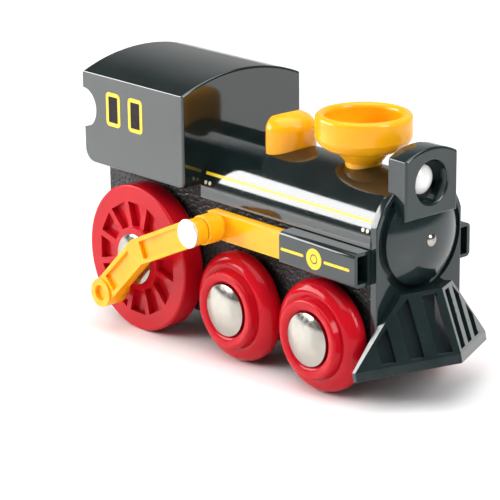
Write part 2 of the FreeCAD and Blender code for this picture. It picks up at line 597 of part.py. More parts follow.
def small_wheel(side, label, across):
    """A bulged tread, a groove and a raised ring round the cap's seat."""
    body = new_body(label, (cell(across), 0, cell("SmallWheelR")), outward_turn(side))
    half = new_sketch(body, "YZ_Plane")
    outline(half, [
        ("WheelInside", "AxleR"), ("WheelInside", "TreadR"), ("TreadStart", "SmallWheelR"),
        ("TreadStop", "SmallWheelR"), ("TreadEdge", "TreadR"), ("TreadEdge", "GrooveOuterR"),
        ("GrooveFloor", "GrooveR"), ("GrooveFloor", "LipR"), ("LipStart", "LipR"),
        ("LipFace", "LipTopR"), ("LipFace", "CapSeatR"), ("CapSeat", "CapSeatR"),
        ("CapSeat", "AxleR")])
    wheel = revolve(body, half)
    soften(body, wheel, "TreadRound", lambda p, e: is_round(e, "SmallWheelR") or is_round(e, "TreadR"))
    return body


def driving_wheel(side, label):
    """A disc with twelve spokes, a hub round the cap's seat and a boss for the crank stud."""
    body = new_body(label, (-cell("DriverX"), 0, cell("DriverR")))
    half = new_sketch(body, "YZ_Plane")
    face, hub = signed(side, "DriverFace"), signed(side, "DriverHub")
    outline(half, [
        (signed(side, "WheelRimInside"), "AxleR"), (signed(side, "WheelRimInside"), "DriverR"),
        (face, "DriverR"), (face, "DriverHubR"), (hub, "DriverHubTopR"), (hub, "CapSeatR"),
        (signed(side, "CapSeat"), "CapSeatR"), (signed(side, "CapSeat"), "AxleR")])
    wheel = revolve(body, half)
    wheel = soften(body, wheel, "DriverEdge", lambda p, e: is_round(e, "DriverR"))
    spoke = new_sketch(body, "XZ_Plane", signed(-side, "DriverFace"))
    outline(spoke, [("SpokePocketInner", "SpokeInnerR"), ("SpokePocketOuter", "SpokeOuterR"),
                    ("-SpokePocketOuter", "SpokeOuterR"), ("-SpokePocketInner", "SpokeInnerR")])
    cut = pocket(body, spoke, "SpokePocketDepth", reverse=side > 0)
    spokes = body.newObject("PartDesign::PolarPattern", label + "_spokes")
    spokes.Originals = [cut]
    spokes.Axis = (origin_part(body, "Y_Axis"), [""])
    spokes.Angle = 360
    spokes.setExpression("Occurrences", "dims.SpokeCount")
    body.Tip = spokes
    boss = new_sketch(body, "XZ_Plane", signed(-side, "WheelRimInside"))
    ring(boss, "StudX", "StudZ", "StudBossR")
    pad(body, boss, "StudBossLength", reverse=side > 0)
    hole = new_sketch(body, "XZ_Plane", signed(-side, "StudRoot"))
    ring(hole, "StudX", "StudZ", "StudR")
    pocket(body, hole, "StudLength", reverse=side < 0)
    return body


def crank_stud(side, label):
    body = new_body(label, (-cell("DriverX"), 0, cell("DriverR")))
    end = new_sketch(body, "XZ_Plane", signed(-side, "StudRoot"))
    ring(end, "StudX", "StudZ", "StudR")
    stud = pad(body, end, "StudLength", reverse=side > 0)
    soften(body, stud, "PinEdge", lambda p, e: is_round(e, "StudR")
           and abs(abs(p.y) - cell("StudEnd")) < 0.01)
    return body


def hub_cap(side, label, across, up):
    """A domed cap that snaps into the wheel over the end of the axle."""
    body = new_body(label, (cell(across), 0, cell(up)), outward_turn(side))
    half = new_sketch(body, "YZ_Plane")
    outline(half, [("CapSeat", "CapR"), ("CapRim", "CapR"), ("CapTop", 0, "CapSphereR", -1),
                   ("CapSeat", 0)])
    revolve(body, half)
    return body


# ---------------------------------------------------------------- pistons and rods
def piston_bar(side, label):
    """A flat bar that slides in the sleeve, with the crosshead's boss on its outer face."""
    body = new_body(label)
    end = new_sketch(body, "YZ_Plane", "BarBack")
    low, high = sorted((signed(side, "BarInside"), signed(side, "BarOutside")), key=cell)
    oblong(end, low, high, "BarFoot", "BarTop")
    pad(body, end, "BarLength")
    for start, radius, length in (("BarOutside", "NeckR", "NeckLength"),
                                  ("NeckEnd", "BossR", "BossLength")):
        boss = new_sketch(body, "XZ_Plane", signed(-side, start))
        ring(boss, "-PinX", "PinZ", radius)
        shape = pad(body, boss, length, reverse=side > 0)
    soften(body, shape, "PinEdge", lambda p, e: is_round(e, "BossR"))
    hole = new_sketch(body, "XZ_Plane", signed(-side, "PinRoot"))
    ring(hole, "-PinX", "PinZ", "PinR")
    pocket(body, hole, "PinHoleLength", reverse=side < 0)
    return body


def crosshead_pin(side, label):
    body = new_body(label, (-cell("PinX"), 0, cell("PinZ")), outward_turn(side))
    half = new_sketch(body, "YZ_Plane")
    outline(half, [("PinRoot", 0), ("PinRoot", "PinR"), ("PinHead", "PinR"),
                   ("PinHead", "PinHeadR"), ("PinHeadShoulder", "PinHeadR"),
                   ("PinEnd", "PinHeadTopR"), ("PinEnd", 0)])
    revolve(body, half)
    return body


def connecting_rod(side, label):
    """A cranked bar of two straight runs with a sunk web, an eye at each end."""
    body = new_body(label, (-cell("PinX"), 0, cell("PinZ")))
    pin, bend = Vector(0, 0, 0), Vector(-cell("RodBendX"), -cell("RodBendZ"), 0)
    eye = Vector(-cell("RodEyeX"), -cell("RodEyeZ"), 0)
    runs = []
    for start, end in ((pin, bend), (bend, eye)):
        run = end - start
        turn = Rotation(Vector(0, 0, 1), math.degrees(math.atan2(run.y, run.x)))
        runs.append((start, run.Length, turn))
    outward = -side

    def on_run(run, lift):
        """A sketch on the rod, its first axis along one run from that run's start."""
        start, _, turn = run
        return new_sketch(body, "XZ_Plane", frame=Placement(
            Vector(start.x, start.y, cell(lift) * outward), turn))

    for run in runs:
        strip = on_run(run, "RodInside")
        length = run[1]
        outline(strip, [(0, "RodHalf"), (0, "-RodHalf", "RodHalf", 1), (length, "-RodHalf"),
                        (length, "RodHalf", "RodHalf", 1)])
        pad(body, strip, "RodThickness", reverse=side > 0)
    eye_ring = new_sketch(body, "XZ_Plane", signed(-side, "RodEyeInside"))
    ring(eye_ring, "-RodEyeX", "-RodEyeZ", "RodEyeR")
    pad(body, eye_ring, "EyeLength", reverse=side > 0)
    upper, lower = runs
    for run, near, far, depth in ((upper, 0, "RodStep", "RodShallow"),
                                  (upper, "RodStep", "RodUpperEnd", "RodRecess"),
                                  (lower, "RodLowerStart", "RodLowerEnd", "RodRecess")):
        web = on_run(run, "RodOutside")
        oblong(web, near, far, "-RecessHalf", "RecessHalf")
        pocket(body, web, depth, reverse=side > 0)
    bores = new_sketch(body, "XZ_Plane")
    ring(bores, 0, 0, "PinBoreR")
    pocket(body, bores)
    dimple = new_sketch(body, "XZ_Plane", signed(-side, "RodEyeOutside"))
    ring(dimple, "-RodEyeX", "-RodEyeZ", "RodEyeBoreR")
    pocket(body, dimple, "RodRecess", reverse=side > 0)
    return body


# ---------------------------------------------------------------- the whole engine
chassis_frame()
cab_block()
boiler_block()
smokebox_plate()
smokebox_door()
door_rivet()
headlamp_housing()
headlamp_lens()
funnel()
steam_dome()
cowcatcher()
body_screws()
coupling_pieces()
axle("rear_axle", "-DriverX", "DriverR")
axle("middle_axle", 0, "SmallWheelR")
axle("front_axle", "SmallWheelX", "SmallWheelR")
for hand, hand_name in ((1, "left"), (-1, "right")):
    cylinder_sleeve(hand, "cylinder_sleeve_" + hand_name)
    driving_wheel(hand, "rear_wheel_" + hand_name)
    crank_stud(hand, "crank_stud_" + hand_name)
    hub_cap(hand, "rear_hub_cap_" + hand_name, "-DriverX", "DriverR")
    for axle_name, axle_x in (("middle", 0), ("front", "SmallWheelX")):
        small_wheel(hand, "%s_wheel_%s" % (axle_name, hand_name), axle_x)
        hub_cap(hand, "%s_hub_cap_%s" % (axle_name, hand_name), axle_x, "SmallWheelR")
    piston_bar(hand, "piston_bar_" + hand_name)
    crosshead_pin(hand, "crosshead_pin_" + hand_name)
    connecting_rod(hand, "connecting_rod_" + hand_name)

doc.recompute()
for thing in doc.Objects:
    if "Invalid" in thing.State or "Error" in thing.State:
        raise RuntimeError("%s failed to compute" % thing.Label)
os.makedirs("parts", exist_ok=True)
for node in NODES:
    if node.Shape.isNull() or not node.Shape.isValid():
        raise RuntimeError("%s has no valid shape" % node.Label)
    node.Shape.exportStep("parts/%s.step" % node.Label)
    box = node.Shape.BoundBox
    print("%-24s solids %d volume %9.1f  x %.2f..%.2f  y %.2f..%.2f  z %.2f..%.2f" % (
        node.Label, len(node.Shape.Solids), node.Shape.Volume, box.XMin, box.XMax,
        box.YMin, box.YMax, box.ZMin, box.ZMax))
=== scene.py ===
import json
import math

import bmesh
import bpy
from mathutils import Matrix, Vector


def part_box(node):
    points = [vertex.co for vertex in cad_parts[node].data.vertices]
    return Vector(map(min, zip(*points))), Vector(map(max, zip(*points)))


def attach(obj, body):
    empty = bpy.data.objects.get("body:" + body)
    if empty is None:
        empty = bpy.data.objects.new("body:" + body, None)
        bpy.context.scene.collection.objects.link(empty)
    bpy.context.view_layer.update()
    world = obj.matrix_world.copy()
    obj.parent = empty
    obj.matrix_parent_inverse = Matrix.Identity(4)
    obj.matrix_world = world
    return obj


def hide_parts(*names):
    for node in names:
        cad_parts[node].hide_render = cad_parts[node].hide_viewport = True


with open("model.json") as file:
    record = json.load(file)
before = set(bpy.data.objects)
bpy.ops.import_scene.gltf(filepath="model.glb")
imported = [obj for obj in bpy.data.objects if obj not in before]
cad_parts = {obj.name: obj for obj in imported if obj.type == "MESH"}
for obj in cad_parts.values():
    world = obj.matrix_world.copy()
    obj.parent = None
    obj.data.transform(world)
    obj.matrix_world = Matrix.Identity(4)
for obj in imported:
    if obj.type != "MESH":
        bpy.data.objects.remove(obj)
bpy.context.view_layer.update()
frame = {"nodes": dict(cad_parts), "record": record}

# Lengths are in metres; MM turns a number of millimetres into metres.
MM = 0.001
SIDES = (("left", 1), ("right", -1))
TAU = 2 * math.pi
ALONG = Vector((1, 0, 0))
UP = Vector((0, 0, 1))

# ---------------------------------------------------------------- places taken from the frame
CAB_LOW, CAB_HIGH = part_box("cab_block")
BOILER_LOW, BOILER_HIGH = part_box("boiler_block")
BOILER_R = BOILER_HIGH.y
BOILER_Z = BOILER_HIGH.z - BOILER_R
SLEEVE_LOW, SLEEVE_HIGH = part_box("cylinder_sleeve_left")
DOME_LOW, DOME_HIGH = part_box("steam_dome")


# ---------------------------------------------------------------- materials
class Paint:
    """A procedural material: a Principled shader with its colour, roughness and bump from noise."""

    def __init__(self, name, color, roughness, metallic=0.0, coat=0.0, coat_roughness=0.05, ior=1.5):
        self.material = bpy.data.materials.new(name)
        self.material.use_nodes = True
        self.nodes = self.material.node_tree.nodes
        self.links = self.material.node_tree.links
        self.shader = self.nodes["Principled BSDF"]
        self.shader.inputs["Base Color"].default_value = (*color, 1)
        self.shader.inputs["Roughness"].default_value = roughness
        self.shader.inputs["Metallic"].default_value = metallic
        self.shader.inputs["IOR"].default_value = ior
        self.shader.inputs["Coat Weight"].default_value = coat
        self.shader.inputs["Coat Roughness"].default_value = coat_roughness
        self.color = color
        self.roughness = roughness
        self.place = self.nodes.new("ShaderNodeTexCoord")

    def glow_through(self, weight, radius, scale_mm):
        """Let some light pass below the surface, as in a bright moulded plastic."""
        self.shader.inputs["Subsurface Weight"].default_value = weight
        self.shader.inputs["Subsurface Radius"].default_value = radius
        self.shader.inputs["Subsurface Scale"].default_value = scale_mm * MM

    def noise(self, size_mm, detail=3.0, stretch=(1, 1, 1)):
        """Noise whose grains are about size_mm across, in the object's own coordinates."""
        mapping = self.nodes.new("ShaderNodeMapping")
        mapping.inputs["Scale"].default_value = [s / (size_mm * MM) for s in stretch]
        self.links.new(self.place.outputs["Object"], mapping.inputs["Vector"])
        noise = self.nodes.new("ShaderNodeTexNoise")
        noise.inputs["Scale"].default_value = 1.0
        noise.inputs["Detail"].default_value = detail
        self.links.new(mapping.outputs["Vector"], noise.inputs["Vector"])
        return noise.outputs["Fac"]

    def pebbles(self, cell_mm):
        """Raised pebbles with creases between them, as on a leather-grained moulding."""
        cells = self.nodes.new("ShaderNodeTexVoronoi")
        cells.feature = "DISTANCE_TO_EDGE"
        cells.inputs["Scale"].default_value = 1 / (cell_mm * MM)
        self.links.new(self.place.outputs["Object"], cells.inputs["Vector"])
        return self.remap(cells.outputs["Distance"], 0, 1, start=0.0, end=0.35)

    def remap(self, value, low, high, start=0.35, end=0.65):
        """Stretch the part of a value between start and end to run from low to high."""
        ramp = self.nodes.new("ShaderNodeMapRange")
        for name, number in (("From Min", start), ("From Max", end), ("To Min", low), ("To Max", high)):
            ramp.inputs[name].default_value = number
        self.links.new(value, ramp.inputs["Value"])
        return ramp.outputs["Result"]

    def vary_roughness(self, size_mm, amount):
        wear = self.remap(self.noise(size_mm), self.roughness - amount, self.roughness + amount)
        self.links.new(wear, self.shader.inputs["Roughness"])

    def vary_color(self, size_mm, other, stretch=(1, 1, 1)):
        """Drift between the base colour and another one in soft patches."""
        mix = self.nodes.new("ShaderNodeMix")
        mix.data_type = "RGBA"
        mix.inputs["A"].default_value = (*self.color, 1)
        mix.inputs["B"].default_value = (*other, 1)
        self.links.new(self.remap(self.noise(size_mm, stretch=stretch), 0, 1), mix.inputs["Factor"])
        self.links.new(mix.outputs["Result"], self.shader.inputs["Base Color"])

    def bump(self, height, depth_mm, strength=1.0):
        bump = self.nodes.new("ShaderNodeBump")
        bump.inputs["Strength"].default_value = strength
        bump.inputs["Distance"].default_value = depth_mm * MM
        self.links.new(height, bump.inputs["Height"])
        self.links.new(bump.outputs["Normal"], self.shader.inputs["Normal"])


def red_plastic():
    """The wheels' glossy plastic, with faint moulding ripples."""
    paint = Paint("red_plastic", (0.56, 0.006, 0.016), roughness=0.12, ior=1.28)
    paint.vary_roughness(size_mm=2.5, amount=0.03)
    paint.vary_color(size_mm=9, other=(0.50, 0.005, 0.013))
    paint.bump(paint.noise(size_mm=6.0), depth_mm=0.003)
    return paint


def yellow_plastic():
    """The softly glowing plastic of the funnel, dome, rods and pistons."""
    paint = Paint("yellow_plastic", (1.0, 0.47, 0.008), roughness=0.2, ior=1.42)
    paint.glow_through(weight=0.35, radius=(1.0, 0.45, 0.03), scale_mm=1.6)
    paint.vary_roughness(size_mm=2.0, amount=0.03)
    paint.vary_color(size_mm=8, other=(1.0, 0.42, 0.006))
    paint.bump(paint.noise(size_mm=5.0), depth_mm=0.004)
    return paint


def dark_plastic():
    """The blackish plastic of the plough, lamp housing, front plate and cylinders."""
    paint = Paint("dark_plastic", (0.007, 0.015, 0.016), roughness=0.13, ior=1.6)
    paint.vary_roughness(size_mm=1.6, amount=0.03)
    paint.vary_color(size_mm=7, other=(0.012, 0.022, 0.023))
    paint.bump(paint.noise(size_mm=3.0), depth_mm=0.004)
    return paint


def dark_lacquer():
    """Lacquer over wood: very glossy, with the grain's slow waves running lengthwise."""
    paint = Paint("dark_lacquer", (0.004, 0.009, 0.009), roughness=0.09, ior=1.8)
    paint.vary_roughness(size_mm=1.6, amount=0.02)
    paint.vary_color(size_mm=10, other=(0.008, 0.015, 0.015))
    paint.bump(paint.noise(size_mm=5.0, detail=2.0, stretch=(0.25, 1, 1)), depth_mm=0.01)
    return paint


def chassis_grain():
    """The chassis's dull black plastic with its leather grain."""
    paint = Paint("chassis_grain", (0.006, 0.006, 0.006), roughness=0.5)
    paint.vary_roughness(size_mm=0.8, amount=0.1)
    paint.vary_color(size_mm=3, other=(0.012, 0.011, 0.010))
    paint.bump(paint.pebbles(cell_mm=1.1), depth_mm=0.16, strength=0.9)
    return paint


def nickel():
    """The polished caps and rivet, a little uneven from pressing."""
    paint = Paint("nickel", (0.45, 0.43, 0.385), roughness=0.17, metallic=1.0)
    paint.vary_roughness(size_mm=0.8, amount=0.05)
    paint.vary_color(size_mm=2.5, other=(0.41, 0.39, 0.35))
    paint.bump(paint.noise(size_mm=1.6), depth_mm=0.008)
    return paint


def lamp_face_painted_highlight():
    """The headlamp button's pale coated face, its colour raised to near white: partly its own pale colour,
    partly a painted highlight.
    """
    paint = Paint("lamp_face_painted_highlight", (0.95, 0.95, 0.94), roughness=0.2, coat=0.6)
    paint.vary_roughness(size_mm=0.8, amount=0.04)
    paint.vary_color(size_mm=1.6, other=(0.9, 0.9, 0.89))
    return paint


def drawn_steel():
    """The axles and screws, with drawing streaks along the axles."""
    paint = Paint("drawn_steel", (0.52, 0.52, 0.51), roughness=0.3, metallic=1.0)
    paint.vary_roughness(size_mm=0.6, amount=0.08)
    paint.vary_color(size_mm=2, other=(0.44, 0.44, 0.43), stretch=(1, 0.1, 1))
    return paint


def pin_plating_painted_highlight():
    """The crosshead pins' plating, its colour raised far above the other steel: partly its own bright
    finish, partly a painted highlight.
    """
    paint = Paint("pin_plating_painted_highlight", (0.93, 0.92, 0.9), roughness=0.34, metallic=0.7)
    paint.vary_roughness(size_mm=0.6, amount=0.05)
    paint.vary_color(size_mm=1.5, other=(0.88, 0.87, 0.85))
    return paint


def magnet_plating():
    """The coupling magnet's darker plating."""
    paint = Paint("magnet_plating", (0.36, 0.36, 0.37), roughness=0.24, metallic=1.0)
    paint.vary_roughness(size_mm=0.7, amount=0.06)
    paint.vary_color(size_mm=1.4, other=(0.28, 0.28, 0.29))
    return paint


def yellow_ink():
    """The ink of the window outlines, stripes and cylinder marks."""
    paint = Paint("yellow_ink", (0.92, 0.66, 0.03), roughness=0.35)
    paint.vary_roughness(size_mm=0.5, amount=0.05)
    paint.vary_color(size_mm=1.5, other=(0.86, 0.6, 0.02))
    paint.bump(paint.noise(size_mm=0.3), depth_mm=0.004)
    return paint


def window_ink():
    """The dull ink inside the window outlines."""
    paint = Paint("window_ink", (0.012, 0.008, 0.013), roughness=0.5, ior=1.25)
    paint.vary_roughness(size_mm=0.5, amount=0.05)
    paint.vary_color(size_mm=1.2, other=(0.02, 0.015, 0.021))
    return paint


def silver_ink():
    """The ink of the small dots below the stripes."""
    paint = Paint("silver_ink", (0.8, 0.78, 0.62), roughness=0.3)
    paint.vary_roughness(size_mm=0.4, amount=0.04)
    paint.vary_color(size_mm=0.8, other=(0.72, 0.7, 0.55))
    return paint


def floor_white():
    """The studio floor, with a faint sheen."""
    paint = Paint("floor_white", (0.93, 0.93, 0.93), roughness=0.5, coat=0.12, coat_roughness=0.1, ior=1.35)
    paint.vary_roughness(size_mm=25, amount=0.02)
    return paint


MAKERS = (red_plastic, yellow_plastic, dark_plastic, dark_lacquer, chassis_grain, nickel, lamp_face_painted_highlight,
          drawn_steel, pin_plating_painted_highlight, magnet_plating, yellow_ink, window_ink, silver_ink, floor_white)
PAINTS = {make.__name__: make().material for make in MAKERS}
SLOT_PAINTS = {
    "lacquer_dark": "dark_lacquer", "plastic_dark": "dark_plastic", "chassis_black": "chassis_grain",
    "plastic_red": "red_plastic", "plastic_yellow": "yellow_plastic", "nickel": "nickel",
    # The headlamp lens takes a near-white paint, partly a painted highlight.
    "lens_silver": "lamp_face_painted_highlight", "steel": "drawn_steel", "magnet_steel": "magnet_plating",
}


# ---------------------------------------------------------------- the CAD nodes that are shown
SOFT_EDGED = ("cowcatcher", "headlamp_housing", "cylinder_sleeve", "smokebox_plate",
              "piston_bar", "connecting_rod", "rear_wheel")
EDGE_WIDTH = 0.22 * MM
PLOUGH_EDGE_WIDTH = 0.38 * MM
EDGE_STEPS = 3
EDGE_ANGLE = 35
WELD_REACH = 0.0005 * MM


def paint_cad_nodes():
    """Every CAD node gets its finished material, and the sharp moulded ones get soft edges."""
    for row in frame["record"]["subparts"]:
        thing = frame["nodes"][row["node"]]
        paint = SLOT_PAINTS[row["material_slot"]]
        # The crosshead pins take a whiter copy of the steel, which paints in a highlight.
        if row["node"].startswith("crosshead_pin"):
            paint = "pin_plating_painted_highlight"
        thing.data.materials.clear()
        thing.data.materials.append(PAINTS[paint])
        if row["node"].startswith(SOFT_EDGED):
            round_edges(thing)


def round_edges(thing):
    """Take the sharpness off a moulded piece's edges, so that they catch the light."""
    weld = thing.modifiers.new("weld", "WELD")
    weld.merge_threshold = WELD_REACH
    bevel = thing.modifiers.new("edges", "BEVEL")
    bevel.width = PLOUGH_EDGE_WIDTH if thing.name.startswith("cowcatcher") else EDGE_WIDTH
    bevel.segments = EDGE_STEPS
    bevel.limit_method = "ANGLE"
    bevel.angle_limit = math.radians(EDGE_ANGLE)
    bevel.harden_normals = True


# ---------------------------------------------------------------- mesh helpers
SHARP_ANGLE = 38


def bridge(build, ring, following):
    """Join two closed rings of as many points each by a band of faces."""
    for step in range(len(ring)):
        after = (step + 1) % len(ring)
        build.faces.new((ring[step], ring[after], following[after], following[step]))


def mesh_of(build, name):
    """The mesh of a finished bmesh, with its faces turned outwards."""
    bmesh.ops.recalc_face_normals(build, faces=build.faces)
    mesh = bpy.data.meshes.new(name)
    build.to_mesh(mesh)
    build.free()
    return mesh


def finish_piece(name, mesh, body, paint, sharp_angle=SHARP_ANGLE):
    """Put a mesh on show, smooth except across its sharp edges, riding on a CAD body."""
    thing = bpy.data.objects.new(name, mesh)
    bpy.context.scene.collection.objects.link(thing)
    mesh.materials.append(PAINTS[paint])
    mesh.shade_smooth()
    mesh.set_sharp_from_angle(angle=math.radians(sharp_angle))
    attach(thing, body)
    return thing


def circle(middle, across, up, radius, steps):
    """Points round a circle in the plane of two unit directions at right angles."""
    angles = [TAU * step / steps for step in range(steps)]
    return [middle + (across * math.cos(angle) + up * math.sin(angle)) * radius for angle in angles]


# ---------------------------------------------------------------- small wheels
PROFILE_STEPS = 6
TURNED_STEPS = 96
WHEEL_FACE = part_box("front_wheel_left")[0].y / MM

# Points of half a section, in mm: out from the wheel's inner face, and radius. True keeps a corner.
SMALL_WHEEL = [
    (0.0, 1.5, True),                                                # bore
    (0.0, 9.6), (0.05, 10.5), (0.35, 11.1), (0.95, 11.5),            # inner face and its rounded rim
    (1.75, 11.62), (2.7, 11.45), (3.6, 10.95), (4.3, 10.2),          # crowned tread
    (4.66, 9.4), (4.7, 8.85), (4.6, 8.4, True),                      # shoulder, down to the collar
    (5.3, 8.2), (5.95, 8.05), (6.22, 7.8), (6.3, 7.4),               # collar's side and top
    (6.22, 6.75), (6.0, 6.1), (5.6, 5.68), (5.2, 5.52, True),        # collar's slope inwards
    (5.2, 1.5, True),                                                # flat seat of the hub cap
]


def smooth_profile(points):
    """A Catmull-Rom curve through the points of a profile, broken at its corners."""
    fine = []
    last = len(points) - 1
    for index in range(last):
        p1, p2 = points[index], points[index + 1]
        p0 = p1 if len(p1) == 3 or index == 0 else points[index - 1]
        p3 = p2 if len(p2) == 3 or index + 1 == last else points[index + 2]
        for step in range(PROFILE_STEPS):
            t = step / PROFILE_STEPS
            fine.append([0.5 * (2 * p1[k] + (p2[k] - p0[k]) * t
                                + (2 * p0[k] - 5 * p1[k] + 4 * p2[k] - p3[k]) * t ** 2
                                + (3 * p1[k] - p0[k] - 3 * p2[k] + p3[k]) * t ** 3) for k in (0, 1)])
    fine.append(points[last][:2])
    return fine


def turned(name, profile, axle, side):
    """A ring of revolution about an axle, closed by joining the profile's last point to its first."""
    build = bmesh.new()
    rings = []
    for out, radius in profile:
        middle = Vector((axle.x, side * (WHEEL_FACE + out) * MM, axle.z))
        points = circle(middle, ALONG, UP, radius * MM, TURNED_STEPS)
        rings.append([build.verts.new(point) for point in points])
    for ring, following in zip(rings, rings[1:] + rings[:1]):
        bridge(build, ring, following)
    return mesh_of(build, name)


def small_wheels():
    profile = smooth_profile(SMALL_WHEEL)
    for name in ("middle", "front"):
        low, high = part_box(name + "_axle")
        for hand, side in SIDES:
            node = "%s_wheel_%s" % (name, hand)
            mesh = turned(node + "_rim", profile, (low + high) / 2, side)
            wheel = finish_piece(node + "_turned", mesh, name + "_wheelset", "red_plastic")
            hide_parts(node)


# ---------------------------------------------------------------- steam dome
DOME_MIDDLE = DOME_HIGH.x - DOME_HIGH.y     # the centre of its round front
DOME_BACK_ROUND = 1.3 * MM
DOME_EDGE = 1.5 * MM
DOME_CROWN = DOME_HIGH.z - 0.05 * MM
DOME_FALL_FORWARD = 2.3 * MM
DOME_FALL_SIDEWAYS = 2.2 * MM
DOME_FOOT = BOILER_HIGH.z - 3.2 * MM
DOME_TIP_X = (DOME_LOW.x + DOME_HIGH.x) / 2 + 0.4 * MM
DOME_FRONT_STEPS = 48
DOME_CORNER_STEPS = 8
DOME_EDGE_STEPS = 8
DOME_RINGS = (0.75, 0.5, 0.25)
DOME_SHARP_ANGLE = 60


def dome_outline(inset):
    """The D-shaped plan, drawn in by a distance: a round front, two round corners and a flat back."""
    radius = DOME_HIGH.y - inset
    corner = DOME_BACK_ROUND - inset / 2
    points = []
    for step in range(DOME_FRONT_STEPS + 1):
        angle = math.radians(-90 + 180 * step / DOME_FRONT_STEPS)
        points.append((DOME_MIDDLE + radius * math.cos(angle), radius * math.sin(angle)))
    turns = list(range(1, DOME_CORNER_STEPS + 1))
    for hand, steps in ((1, turns), (-1, turns[::-1])):
        for step in steps:
            angle = math.radians(90 + 90 * step / DOME_CORNER_STEPS)
            points.append((DOME_MIDDLE + corner * math.cos(angle),
                           hand * (radius - corner + corner * math.sin(angle))))
    return points


def dome_top(x, y):
    """The crown's height, which falls away forward and to both sides."""
    forward = (x - DOME_LOW.x) / (DOME_HIGH.x - DOME_LOW.x)
    return DOME_CROWN - DOME_FALL_FORWARD * forward ** 2 - DOME_FALL_SIDEWAYS * (y / DOME_HIGH.y) ** 2


def soft_dome():
    """The dome with one continuous crown, rolled over into its walls."""
    build = bmesh.new()
    rings = [[build.verts.new((x, y, DOME_FOOT)) for x, y in dome_outline(0.0)]]
    for step in range(DOME_EDGE_STEPS + 1):
        angle = math.radians(90 * step / DOME_EDGE_STEPS)
        drop = DOME_EDGE * (1 - math.sin(angle))
        outline = dome_outline(DOME_EDGE * (1 - math.cos(angle)))
        rings.append([build.verts.new((x, y, dome_top(x, y) - drop)) for x, y in outline])
    for share in DOME_RINGS:
        outline = [(DOME_TIP_X + (x - DOME_TIP_X) * share, y * share) for x, y in dome_outline(DOME_EDGE)]
        rings.append([build.verts.new((x, y, dome_top(x, y))) for x, y in outline])
    for ring, following in zip(rings, rings[1:]):
        bridge(build, ring, following)
    tip = build.verts.new((DOME_TIP_X, 0, dome_top(DOME_TIP_X, 0)))
    inner = rings[-1]
    for vert, after in zip(inner, inner[1:] + inner[:1]):
        build.faces.new((vert, after, tip))
    build.faces.new(rings[0][::-1])
    mesh = mesh_of(build, "steam_dome_crowned")
    dome = finish_piece("steam_dome_crowned", mesh, "engine", "yellow_plastic",
                        DOME_SHARP_ANGLE)
    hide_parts("steam_dome")


# ---------------------------------------------------------------- printed marks
INK = 0.04 * MM
PANE_INK = 0.6 * INK
INK_SUNK = 0.02 * MM
ROUND_STEPS = 6


def filled_slab(name, points, lift):
    """A solid that fills one flat outline and is as thick as the lift."""
    build = bmesh.new()
    low = [build.verts.new(point) for point in points]
    high = [build.verts.new(point + lift) for point in points]
    build.faces.new(low)
    build.faces.new(high[::-1])
    bridge(build, low, high)
    return mesh_of(build, name)


def framed_slab(name, inner, outer, lift):
    """A slab between two outlines with as many points each, open in the middle."""
    build = bmesh.new()
    rings = []
    for points, thickness in ((inner, 0.0), (inner, 1.0), (outer, 1.0), (outer, 0.0)):
        rings.append([build.verts.new(point + lift * thickness) for point in points])
    for ring, following in zip(rings, rings[1:] + rings[:1]):
        bridge(build, ring, following)
    return mesh_of(build, name)


def rounded_rectangle(x, z, half_x, half_z, radius, y):
    """Points round a rectangle that stands lengthwise at y, given by its middle and half its sides."""
    points = []
    for quarter, (right, up) in enumerate(((1, 1), (-1, 1), (-1, -1), (1, -1))):
        middle_x = x + right * (half_x - radius)
        middle_z = z + up * (half_z - radius)
        for step in range(ROUND_STEPS + 1):
            angle = math.radians(90 * quarter + 90 * step / ROUND_STEPS)
            points.append(Vector((middle_x + radius * math.cos(angle), y,
                                  middle_z + radius * math.sin(angle))))
    return points


def print_mark(name, mesh, paint="yellow_ink"):
    """Show a slab of ink on the engine, in the given paint."""
    finish_piece(name, mesh, "engine", paint)


WINDOW_X = (CAB_LOW.x + 10.2 * MM, CAB_LOW.x + 17.55 * MM)
WINDOW_Z = CAB_LOW.z + 12.85 * MM
WINDOW_HALF_X = 2.35 * MM
WINDOW_HALF_Z = 3.65 * MM
WINDOW_LINE = 0.85 * MM
WINDOW_ROUND = 1.0 * MM
PANE_ROUND = 0.2 * MM


def cab_windows():
    """Two windows on each side of the cab: an outline with a dark pane inside it."""
    for hand, side in SIDES:
        wall = side * CAB_HIGH.y
        out = Vector((0, side, 0))
        for number, x in enumerate(WINDOW_X):
            outer = rounded_rectangle(x, WINDOW_Z, WINDOW_HALF_X, WINDOW_HALF_Z, WINDOW_ROUND, wall)
            inner = rounded_rectangle(x, WINDOW_Z, WINDOW_HALF_X - WINDOW_LINE, WINDOW_HALF_Z - WINDOW_LINE,
                                      PANE_ROUND, wall)
            name = "cab_window_%s_%d" % (hand, number)
            print_mark(name + "_line", framed_slab(name + "_line", inner, outer, out * INK))
            print_mark(name + "_pane", filled_slab(name + "_pane", inner, out * PANE_INK),
                       "window_ink")


STRIPE_ANGLE = 66.5
STRIPE_HALF_ANGLE = math.degrees(0.32 * MM / BOILER_R)
STRIPE_REAR = BOILER_LOW.x + 0.8 * MM
STRIPE_FRONT = BOILER_HIGH.x - 0.6 * MM
DOT_ANGLE = 76.0
DOT_R = 0.42 * MM
DOT_IN = 0.5 * MM
DOT_GAP = 1.25 * MM
DOT_SUNK = 0.015 * MM
DOT_STEPS = 20


def outwards(degrees, side):
    """The way straight out of the boiler's round top, at an angle from upright."""
    angle = math.radians(degrees)
    return Vector((0, side * math.sin(angle), math.cos(angle)))


def on_boiler(x, degrees, side, out):
    """A point at a height above the boiler's round top."""
    return Vector((x, 0, BOILER_Z)) + outwards(degrees, side) * (BOILER_R + out)


